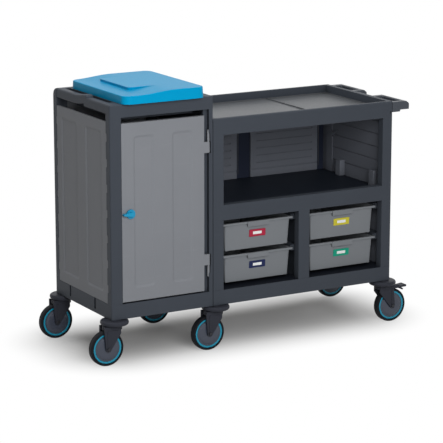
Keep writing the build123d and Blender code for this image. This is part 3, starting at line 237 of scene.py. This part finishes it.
# Tyre rubber: grey-black thermoplastic rubber, dull, with a dusty bloom that wear leaves on it
def tyre_rubber(name, colour, dusty):
    """A dull wheel rubber with a dusty bloom."""
    dust_mm = 14
    pit_mm = 1.6
    pit_depth = 0.08 * MM
    material, output = new_material(name)
    tree = material.node_tree
    place = add_node(tree, "ShaderNodeTexCoord").outputs["Object"]
    dust = add_node(tree, "ShaderNodeTexNoise",
                    {"Vector": place, "Scale": per_metre(dust_mm), "Detail": 5.0})
    dust_mask = add_node(tree, "ShaderNodeMapRange",
                         {"Value": dust.outputs["Fac"], "From Min": 0.5, "From Max": 0.75,
                          "To Max": 0.30})
    tone = add_node(tree, "ShaderNodeMixRGB",
                    {"Fac": dust_mask.outputs["Result"], "Color1": opaque(colour),
                     "Color2": opaque(dusty)})
    pits = add_node(tree, "ShaderNodeTexNoise",
                    {"Vector": place, "Scale": per_metre(pit_mm), "Detail": 2.0})
    bump = add_node(tree, "ShaderNodeBump",
                    {"Height": pits.outputs["Fac"], "Strength": 0.4, "Distance": pit_depth})
    shader = add_node(tree, "ShaderNodeBsdfPrincipled",
                      {"Base Color": tone.outputs["Color"], "Roughness": 0.70, "IOR": 1.52,
                       "Specular IOR Level": 0.15, "Normal": bump.outputs["Normal"]})
    tree.links.new(shader.outputs["BSDF"], output.inputs["Surface"])
    return material


# Plated or blackened steel: turned, then zinc plated or blackened, with fine turning marks and slight
# clouding. The real marks are finer and are drawn as coarse as they need to show.
def plated_steel(name, colour):
    """A plated or blackened steel with clouding and fine turning marks."""
    cloud_mm = 6
    mark_mm = 0.7
    mark_depth = 0.02 * MM
    material, output = new_material(name)
    tree = material.node_tree
    place = add_node(tree, "ShaderNodeTexCoord").outputs["Object"]
    cloud = add_node(tree, "ShaderNodeTexNoise",
                     {"Vector": place, "Scale": per_metre(cloud_mm), "Detail": 3.0})
    tone = add_node(tree, "ShaderNodeMixRGB",
                    {"Fac": cloud.outputs["Fac"], "Color1": toned(colour, 0.85),
                     "Color2": toned(colour, 1.1)})
    gloss = add_node(tree, "ShaderNodeMapRange",
                     {"Value": cloud.outputs["Fac"], "To Min": 0.28, "To Max": 0.46})
    marks = add_node(tree, "ShaderNodeTexNoise",
                     {"Vector": place, "Scale": per_metre(mark_mm), "Detail": 1.0})
    bump = add_node(tree, "ShaderNodeBump",
                    {"Height": marks.outputs["Fac"], "Strength": 0.2, "Distance": mark_depth})
    shader = add_node(tree, "ShaderNodeBsdfPrincipled",
                      {"Base Color": tone.outputs["Color"], "Metallic": 1.0,
                       "Roughness": gloss.outputs["Result"], "Normal": bump.outputs["Normal"]})
    tree.links.new(shader.outputs["BSDF"], output.inputs["Surface"])
    return material


# Printed card behind a clear film: flat even ink with paper fibre under it and a smooth top. The real
# fibre is finer and is drawn as coarse as it needs to show.
def printed_card(name, colour, roughness):
    """An evenly printed card with a smooth film over it."""
    fibre_mm = 1.2
    fibre_height = 0.02 * MM
    material, output = new_material(name)
    tree = material.node_tree
    place = add_node(tree, "ShaderNodeTexCoord").outputs["Object"]
    fibre = add_node(tree, "ShaderNodeTexNoise",
                     {"Vector": place, "Scale": per_metre(fibre_mm), "Detail": 4.0})
    tone = add_node(tree, "ShaderNodeMixRGB",
                    {"Fac": fibre.outputs["Fac"], "Color1": toned(colour, 0.93),
                     "Color2": toned(colour, 1.05)})
    bump = add_node(tree, "ShaderNodeBump",
                    {"Height": fibre.outputs["Fac"], "Strength": 0.15, "Distance": fibre_height})
    shader = add_node(tree, "ShaderNodeBsdfPrincipled",
                      {"Base Color": tone.outputs["Color"], "Roughness": roughness, "IOR": 1.50,
                       "Specular IOR Level": 0.2, "Normal": bump.outputs["Normal"]})
    tree.links.new(shader.outputs["BSDF"], output.inputs["Surface"])
    return material


def dress(nodes, material):
    """Give CAD nodes a material in place of the one they came with."""
    for name in nodes:
        mesh = frame["nodes"][name].data
        mesh.materials.clear()
        mesh.materials.append(material)


def nodes_named(*starts):
    """The CAD nodes whose names begin with any of the given words."""
    return [name for name in frame["nodes"] if name.startswith(starts)]


def colour_property(name, description, code):
    """A colour that a user may change, given as sRGB hex."""
    return bpy.props.FloatVectorProperty(
        name=name, description=description, subtype="COLOR", size=3, min=0.0, max=1.0,
        default=linear(code))


def length_property(name, description, value):
    """A length in metres that a user may change."""
    return bpy.props.FloatProperty(
        name=name, description=description, unit="LENGTH", min=0.0, default=value)


class CartColours(bpy.types.PropertyGroup):
    """Colours of the cart's plastics, steel, rubber and labels."""

    frame: colour_property("Frame", "Anthracite of the posts, rails, bases and handle", "#42474F")
    # The shelf's near black is partly its own dark plastic and partly painted shade
    shelf: colour_property("Shelf", "Near black of the middle shelf", "#20252E")
    upright: colour_property("Upright", "Near black of the uprights behind the shelf", "#262B39")
    # The bay floor's black is painted shade under the lower drawers
    bay_floor_shade: colour_property("Bay floor", "Black under the lower drawers", "#191C23")
    panel: colour_property("Panel", "Grey of the door and the cabinet's panels", "#82858B")
    wall: colour_property("Wall", "Grey of the body's inner walls", "#6A6E77")
    drawer: colour_property("Drawer", "Grey of the drawers", "#7D8186")
    tray: colour_property("Tray", "Grey of the tray inserts", "#5E6165")
    lid: colour_property("Lid", "Blue of the lid", "#0098CA")
    knob: colour_property("Knob", "Blue of the latch knob", "#1893BE")
    ring: colour_property("Ring", "Blue of the wheel rings", "#118BAA")
    hub: colour_property("Hub", "Dark grey of the wheel hubs", "#3C4250")
    caster: colour_property("Caster", "Dark grey of the forks, pedals and bumper discs", "#34363E")
    tyre: colour_property("Tyre", "Grey black of the tyres", "#14161A")
    tyre_dust: colour_property("Tyre dust", "Dusty bloom on the tyres", "#26282C")
    steel: colour_property("Steel", "Zinc plating of the latch cam", "#B9BCC0")
    dark_steel: colour_property("Dark steel", "Blackened steel of the axles", "#3A3B3F")
    label_red: colour_property("Red label", "Upper left drawer label", "#AE2743")
    label_navy: colour_property("Navy label", "Lower left drawer label", "#18244F")
    label_yellow: colour_property("Yellow label", "Upper right drawer label", "#CCC23C")
    label_green: colour_property("Green label", "Lower right drawer label", "#0E987C")
    label_white: colour_property("Label strip", "Blank writing strip", "#F2F4F4")


class CartSizes(bpy.types.PropertyGroup):
    """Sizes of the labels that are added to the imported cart."""

    label_width: length_property("Label width", "Width of a drawer label", 80 * MM)
    label_height: length_property("Label height", "Height of a drawer label", 31 * MM)
    label_thickness: length_property("Label thickness", "Thickness of a drawer label", 2 * MM)
    strip_width: length_property("Strip width", "Width of the blank writing strip", 43 * MM)
    strip_height: length_property("Strip height", "Height of the blank writing strip", 12.5 * MM)
    label_drop: length_property("Label drop", "From a drawer's rim to the middle of its label", 54 * MM)


class CART_OT_frame(bpy.types.Operator):
    """Finish the posts, rails, bases, walls, shelf and handle in dark polypropylene"""

    bl_idname = "cart.frame"
    bl_label = "Frame"

    def execute(self, context):
        colours = context.scene.cart_colours
        anthracite = moulded_plastic(
            "polypropylene_anthracite_grained", colours.frame, roughness=0.46)
        dress(["cabinet_base", "cabinet_front_frame", "cabinet_rear_frame", "cabinet_top_frame",
               "bag_collar", "partition_wall", "upper_front_frame", "drawer_bay_posts",
               "tray_frame", "drawer_runners"], anthracite)
        # Hands have polished the push handle
        polished = moulded_plastic(
            "polypropylene_anthracite_polished", colours.frame, roughness=0.36, specular=POLISHED)
        dress(["push_handle"], polished)
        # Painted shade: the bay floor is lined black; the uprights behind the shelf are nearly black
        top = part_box("body_base")[1][2] - LINING_DEPTH
        painted_shade_top = moulded_plastic(
            "polypropylene_anthracite_black_top", colours.frame, roughness=0.46,
            lining=(colours.bay_floor_shade, "Z", "GREATER_THAN", top))
        dress(["body_base"], painted_shade_top)
        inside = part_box("body_rear_frame")[0][1] + LINING_DEPTH
        black_inside = moulded_plastic(
            "polypropylene_anthracite_black_inside", colours.frame, roughness=0.46,
            lining=(colours.upright, "Y", "LESS_THAN", inside))
        dress(["body_rear_frame"], black_inside)
        # The shelf is near black: partly its own dark plastic and partly painted shade
        black = moulded_plastic("polypropylene_black_grained", colours.shelf, roughness=0.50)
        dress(["middle_shelf"], black)
        return {"FINISHED"}


class CART_OT_panels(bpy.types.Operator):
    """Finish the door, the panels and the tray inserts in grey"""

    bl_idname = "cart.panels"
    bl_label = "Panels and inserts"

    def execute(self, context):
        colours = context.scene.cart_colours
        panel = moulded_plastic(
            "polypropylene_grey_panel", colours.panel, roughness=0.44, mottle=0.035, rub=1.18)
        dress(["door", "cabinet_side_panel", "cabinet_rear_panel"], panel)
        wall = moulded_plastic(
            "polypropylene_grey_wall", colours.wall, roughness=0.46, mottle=0.035, rub=1.18)
        dress(["body_side_panel", "back_panels"], wall)
        tray = moulded_plastic(
            "polypropylene_grey_tray", colours.tray, roughness=0.42, grain_mm=3.0, rub=1.15,
            specular=POLISHED)
        dress(["tray_inserts"], tray)
        return {"FINISHED"}


class CART_OT_drawers(bpy.types.Operator):
    """Finish the drawers in satin grey ABS"""

    bl_idname = "cart.drawers"
    bl_label = "Drawers"

    def execute(self, context):
        colours = context.scene.cart_colours
        satin = moulded_plastic(
            "abs_grey_drawer", colours.drawer, roughness=0.38, grain_height_mm=0.03, mottle=0.03,
            rub=1.15)
        dress(nodes_named("drawer_upper", "drawer_lower"), satin)
        return {"FINISHED"}


class CART_OT_lid(bpy.types.Operator):
    """Finish the lid and the latch in blue, and the latch cam in plated steel"""

    bl_idname = "cart.lid"
    bl_label = "Lid and latch"

    def execute(self, context):
        colours = context.scene.cart_colours
        blue = moulded_plastic(
            "polypropylene_blue_lid", colours.lid, roughness=0.36, grain_height_mm=0.03,
            mottle=0.03, rub=1.2, specular=SATIN)
        dress(["lid"], blue)
        knob = moulded_plastic(
            "abs_blue_knob", colours.knob, roughness=0.30, grain_height_mm=0.02, rub=1.2,
            specular=POLISHED)
        dress(["latch_knob"], knob)
        dress(["latch_cam"], plated_steel("zinc_plated_steel_cam", colours.steel))
        return {"FINISHED"}


class CART_OT_casters(bpy.types.Operator):
    """Finish the forks, discs, hubs, rings, tyres, axles and brake pedals"""

    bl_idname = "cart.casters"
    bl_label = "Casters"

    def execute(self, context):
        colours = context.scene.cart_colours
        nylon = moulded_plastic("nylon_dark_grey_caster", colours.caster, roughness=0.42)
        dress(nodes_named("fork_", "pedal_", "bumper_"), nylon)
        hub = moulded_plastic(
            "nylon_gloss_hub", colours.hub, roughness=0.24, grain_height_mm=0.015, coat=0.25,
            specular=POLISHED)
        dress(nodes_named("hub_"), hub)
        ring = moulded_plastic(
            "abs_cyan_ring", colours.ring, roughness=0.26, grain_height_mm=0.015, coat=0.2,
            specular=POLISHED)
        dress(nodes_named("ring_"), ring)
        rubber = tyre_rubber("grey_black_wheel_rubber", colours.tyre, colours.tyre_dust)
        dress(nodes_named("tyre_"), rubber)
        dress(nodes_named("axle_"), plated_steel("blackened_steel_axle", colours.dark_steel))
        return {"FINISHED"}


def clear_selection(mesh):
    """Leave edit mode with nothing of the mesh selected."""
    bpy.ops.object.mode_set(mode="OBJECT")
    for part in (mesh.vertices, mesh.edges, mesh.polygons):
        part.foreach_set("select", [False] * len(part))


def select_front_faces(mesh):
    """In edit mode, select only the faces that look to the front."""
    clear_selection(mesh)
    for face in mesh.polygons:
        face.select = face.normal.y < -0.9
    bpy.ops.object.mode_set(mode="EDIT")
    bpy.ops.mesh.select_mode(type="FACE")


def select_depth_edges(mesh):
    """In edit mode, select only the edges that run straight from front to back."""
    same = 0.001 * MM
    clear_selection(mesh)
    for edge in mesh.edges:
        first, second = (mesh.vertices[i].co for i in edge.vertices)
        edge.select = abs(first.x - second.x) < same and abs(first.z - second.z) < same
    bpy.ops.object.mode_set(mode="EDIT")
    bpy.ops.mesh.select_mode(type="EDGE")


# A drawer label: a card in a thin frame, with a blank strip to write on
def model_label(name, sizes, card, strip, place, lean):
    """Model one label flat on the front plane, then lean it back and put it in its place."""
    bpy.ops.object.select_all(action="DESELECT")
    bpy.ops.mesh.primitive_cube_add(size=1.0, location=(0.0, 0.0, 0.0))
    label = bpy.context.object
    label.name = name
    mesh = label.data
    mesh.materials.append(card)
    mesh.materials.append(strip)
    bpy.ops.object.mode_set(mode="EDIT")
    size = (sizes.label_width, sizes.label_thickness, sizes.label_height)
    bpy.ops.transform.resize(value=size)
    select_depth_edges(mesh)
    bpy.ops.mesh.bevel(offset=LABEL_CORNER, segments=4, affect="EDGES")
    select_front_faces(mesh)
    bpy.ops.mesh.inset(thickness=RIM_WIDTH)
    bpy.ops.transform.translate(value=(0.0, RIM_HEIGHT, 0.0))
    # The strip stands a little proud of the card
    strip_y = -sizes.label_thickness / 2
    bpy.ops.mesh.select_all(action="DESELECT")
    bpy.ops.mesh.primitive_cube_add(size=1.0, location=(0.0, strip_y, 0.0))
    strip_size = (sizes.strip_width, sizes.label_thickness / 2, sizes.strip_height)
    bpy.ops.transform.resize(value=strip_size, center_override=(0.0, strip_y, 0.0))
    bpy.context.object.active_material_index = 1
    bpy.ops.object.material_slot_assign()
    bpy.ops.mesh.bevel(offset=STRIP_EDGE, segments=2, affect="EDGES")
    bpy.ops.mesh.select_all(action="SELECT")
    # Without a window the operator turns the other way, so the lean is given its minus sign
    bpy.ops.transform.rotate(value=-lean, orient_axis="X", center_override=(0.0, 0.0, 0.0))
    bpy.ops.transform.translate(value=place)
    bpy.ops.object.mode_set(mode="OBJECT")
    return label


class CART_OT_labels(bpy.types.Operator):
    """Model a coloured label with a blank strip on the front of each drawer"""

    bl_idname = "cart.labels"
    bl_label = "Drawer labels"

    def execute(self, context):
        colours = context.scene.cart_colours
        sizes = context.scene.cart_sizes
        strip = printed_card("blank_white_card", colours.label_white, roughness=0.40)
        shades = {
            "drawer_upper_left": ("red", colours.label_red),
            "drawer_lower_left": ("navy", colours.label_navy),
            "drawer_upper_right": ("yellow", colours.label_yellow),
            "drawer_lower_right": ("green", colours.label_green),
        }
        drop = sizes.label_drop
        lean_back = (drop - LEAN_START) * math.tan(DRAWER_DRAFT)
        for drawer, (shade, colour) in shades.items():
            low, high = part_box(drawer)
            middle = (low[0] + high[0]) / 2
            card = printed_card(f"printed_card_{shade}", colour, roughness=0.32)
            wall_y = low[1] + PULL_REACH + LIP_REACH + lean_back
            place = (middle, wall_y - sizes.label_thickness / 2, high[2] - drop)
            label = model_label(f"label_{shade}", sizes, card, strip, place, DRAWER_DRAFT)
            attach(label, drawer)
        return {"FINISHED"}


def background_rays(tree):
    """A value of one for rays that see the background: from the camera, a mirroring face or glass."""
    path = add_node(tree, "ShaderNodeLightPath")
    direct = add_node(tree, "ShaderNodeMath",
                      {0: path.outputs["Is Camera Ray"], 1: path.outputs["Is Glossy Ray"]},
                      operation="MAXIMUM")
    seen = add_node(tree, "ShaderNodeMath",
                    {0: direct.outputs["Value"], 1: path.outputs["Is Transmission Ray"]},
                    operation="MAXIMUM")
    return seen.outputs["Value"]


# The studio floor: matt grey paint under and behind the cart, where its shadow lies, going over to
# plain white around it
def studio_floor(name):
    """A matt floor that fades to white away from the cart."""
    material, output = new_material(name)
    tree = material.node_tree
    matt = add_node(tree, "ShaderNodeBsdfDiffuse", {"Color": FLOOR_GREY})
    glow = add_node(tree, "ShaderNodeEmission", {"Color": WHITE, "Strength": 1.0})
    # The grey field is darker than the white around it: a painted shadow beside the cast one
    shaded = (cad_box[1][0] - SHADE_INSET, cad_box[1][1] - SHADE_INSET, cad_box[1][2])
    place = add_node(tree, "ShaderNodeTexCoord").outputs["Object"]
    centred = add_node(tree, "ShaderNodeVectorMath", {0: place, 1: SHADE_CENTRE},
                       operation="SUBTRACT")
    folded = add_node(tree, "ShaderNodeVectorMath", {0: centred.outputs["Vector"]},
                      operation="ABSOLUTE")
    beyond = add_node(tree, "ShaderNodeVectorMath", {0: folded.outputs["Vector"], 1: shaded},
                      operation="SUBTRACT")
    outside = add_node(tree, "ShaderNodeVectorMath",
                       {0: beyond.outputs["Vector"], 1: (0.0, 0.0, 0.0)}, operation="MAXIMUM")
    away = add_node(tree, "ShaderNodeVectorMath", {0: outside.outputs["Vector"]},
                    operation="LENGTH")
    white = add_node(tree, "ShaderNodeMapRange",
                     {"Value": away.outputs["Value"], "From Max": SHADE_FADE,
                      "To Min": LEAST_WHITE}, interpolation_type="SMOOTHSTEP")
    share = add_node(tree, "ShaderNodeMath",
                     {0: background_rays(tree), 1: white.outputs["Result"]}, operation="MULTIPLY")
    mix = add_node(tree, "ShaderNodeMixShader",
                   {0: share.outputs["Value"], 1: matt.outputs["BSDF"],
                    2: glow.outputs["Emission"]})
    tree.links.new(mix.outputs["Shader"], output.inputs["Surface"])
    return material


def light_room(scene):
    """Light the cart with a faint warm room that the camera sees as white."""
    world = bpy.data.worlds.new("soft_room")
    scene.world = world
    world.use_nodes = True
    tree = world.node_tree
    tree.nodes.clear()
    output = add_node(tree, "ShaderNodeOutputWorld")
    room = add_node(tree, "ShaderNodeBackground", {"Color": ROOM_TINT, "Strength": ROOM_STRENGTH})
    white = add_node(tree, "ShaderNodeBackground", {"Color": WHITE, "Strength": 1.0})
    mix = add_node(tree, "ShaderNodeMixShader",
                   {0: background_rays(tree), 1: room.outputs["Background"],
                    2: white.outputs["Background"]})
    tree.links.new(mix.outputs["Shader"], output.inputs["Surface"])


def hang_lamp(collection, name, place, size, power, mirrored):
    """Hang a square soft light, aimed at the cart, that glossy faces may mirror."""
    data = bpy.data.lights.new(name, "AREA")
    data.size = size
    data.energy = power
    lamp = bpy.data.objects.new(name, data)
    lamp.location = place
    aim = Vector(LAMP_TARGET) - Vector(place)
    lamp.rotation_euler = aim.to_track_quat("-Z", "Y").to_euler()
    lamp.visible_glossy = mirrored
    collection.objects.link(lamp)


class CART_OT_stage(bpy.types.Operator):
    """Set up the pale floor, the soft light and the camera"""

    bl_idname = "cart.stage"
    bl_label = "Stage"

    def execute(self, context):
        scene = context.scene
        bpy.ops.object.select_all(action="DESELECT")
        bpy.ops.mesh.primitive_plane_add(size=FLOOR_SIZE, location=(0.0, 0.0, 0.0))
        floor = context.object
        floor.name = "floor"
        floor.data.materials.append(studio_floor("pale_studio_floor"))

        light_room(scene)
        for lamp in LAMPS:
            hang_lamp(context.collection, *lamp)

        data = bpy.data.cameras.new("photo_camera")
        data.sensor_fit = "HORIZONTAL"
        data.sensor_width = SENSOR_WIDTH
        data.lens = CAMERA_LENS
        data.clip_end = FARTHEST_SEEN
        camera = bpy.data.objects.new("photo_camera", data)
        camera.location = CAMERA_PLACE
        camera.rotation_euler = CAMERA_TURN
        context.collection.objects.link(camera)
        scene.camera = camera
        scene.view_settings.view_transform = "Standard"
        return {"FINISHED"}


class CART_PT_panel(bpy.types.Panel):
    """The cart's steps, colours and sizes"""

    bl_idname = "CART_PT_panel"
    bl_label = "Cleaning cart"
    bl_space_type = "VIEW_3D"
    bl_region_type = "UI"
    bl_category = "Cart"

    def draw(self, context):
        scene = context.scene
        column = self.layout.column()
        for step in steps:
            column.operator(step.bl_idname)
        groups = ((scene.cart_colours, CartColours), (scene.cart_sizes, CartSizes))
        for group, owner in groups:
            for name in owner.__annotations__:
                column.prop(group, name)


steps = (CART_OT_frame, CART_OT_panels, CART_OT_drawers, CART_OT_lid, CART_OT_casters,
         CART_OT_labels, CART_OT_stage)
classes = (CartColours, CartSizes, *steps, CART_PT_panel)


def register():
    """Register the classes and hang the two property groups on the scene."""
    for cls in classes:
        bpy.utils.register_class(cls)
    bpy.types.Scene.cart_colours = bpy.props.PointerProperty(type=CartColours)
    bpy.types.Scene.cart_sizes = bpy.props.PointerProperty(type=CartSizes)


def unregister():
    """Take the property groups and the classes away again."""
    del bpy.types.Scene.cart_sizes
    del bpy.types.Scene.cart_colours
    for cls in reversed(classes):
        bpy.utils.unregister_class(cls)


def main():
    register()
    bpy.ops.cart.frame()
    bpy.ops.cart.panels()
    bpy.ops.cart.drawers()
    bpy.ops.cart.lid()
    bpy.ops.cart.casters()
    bpy.ops.cart.labels()
    bpy.ops.cart.stage()


if __name__ == "__main__":
    main()
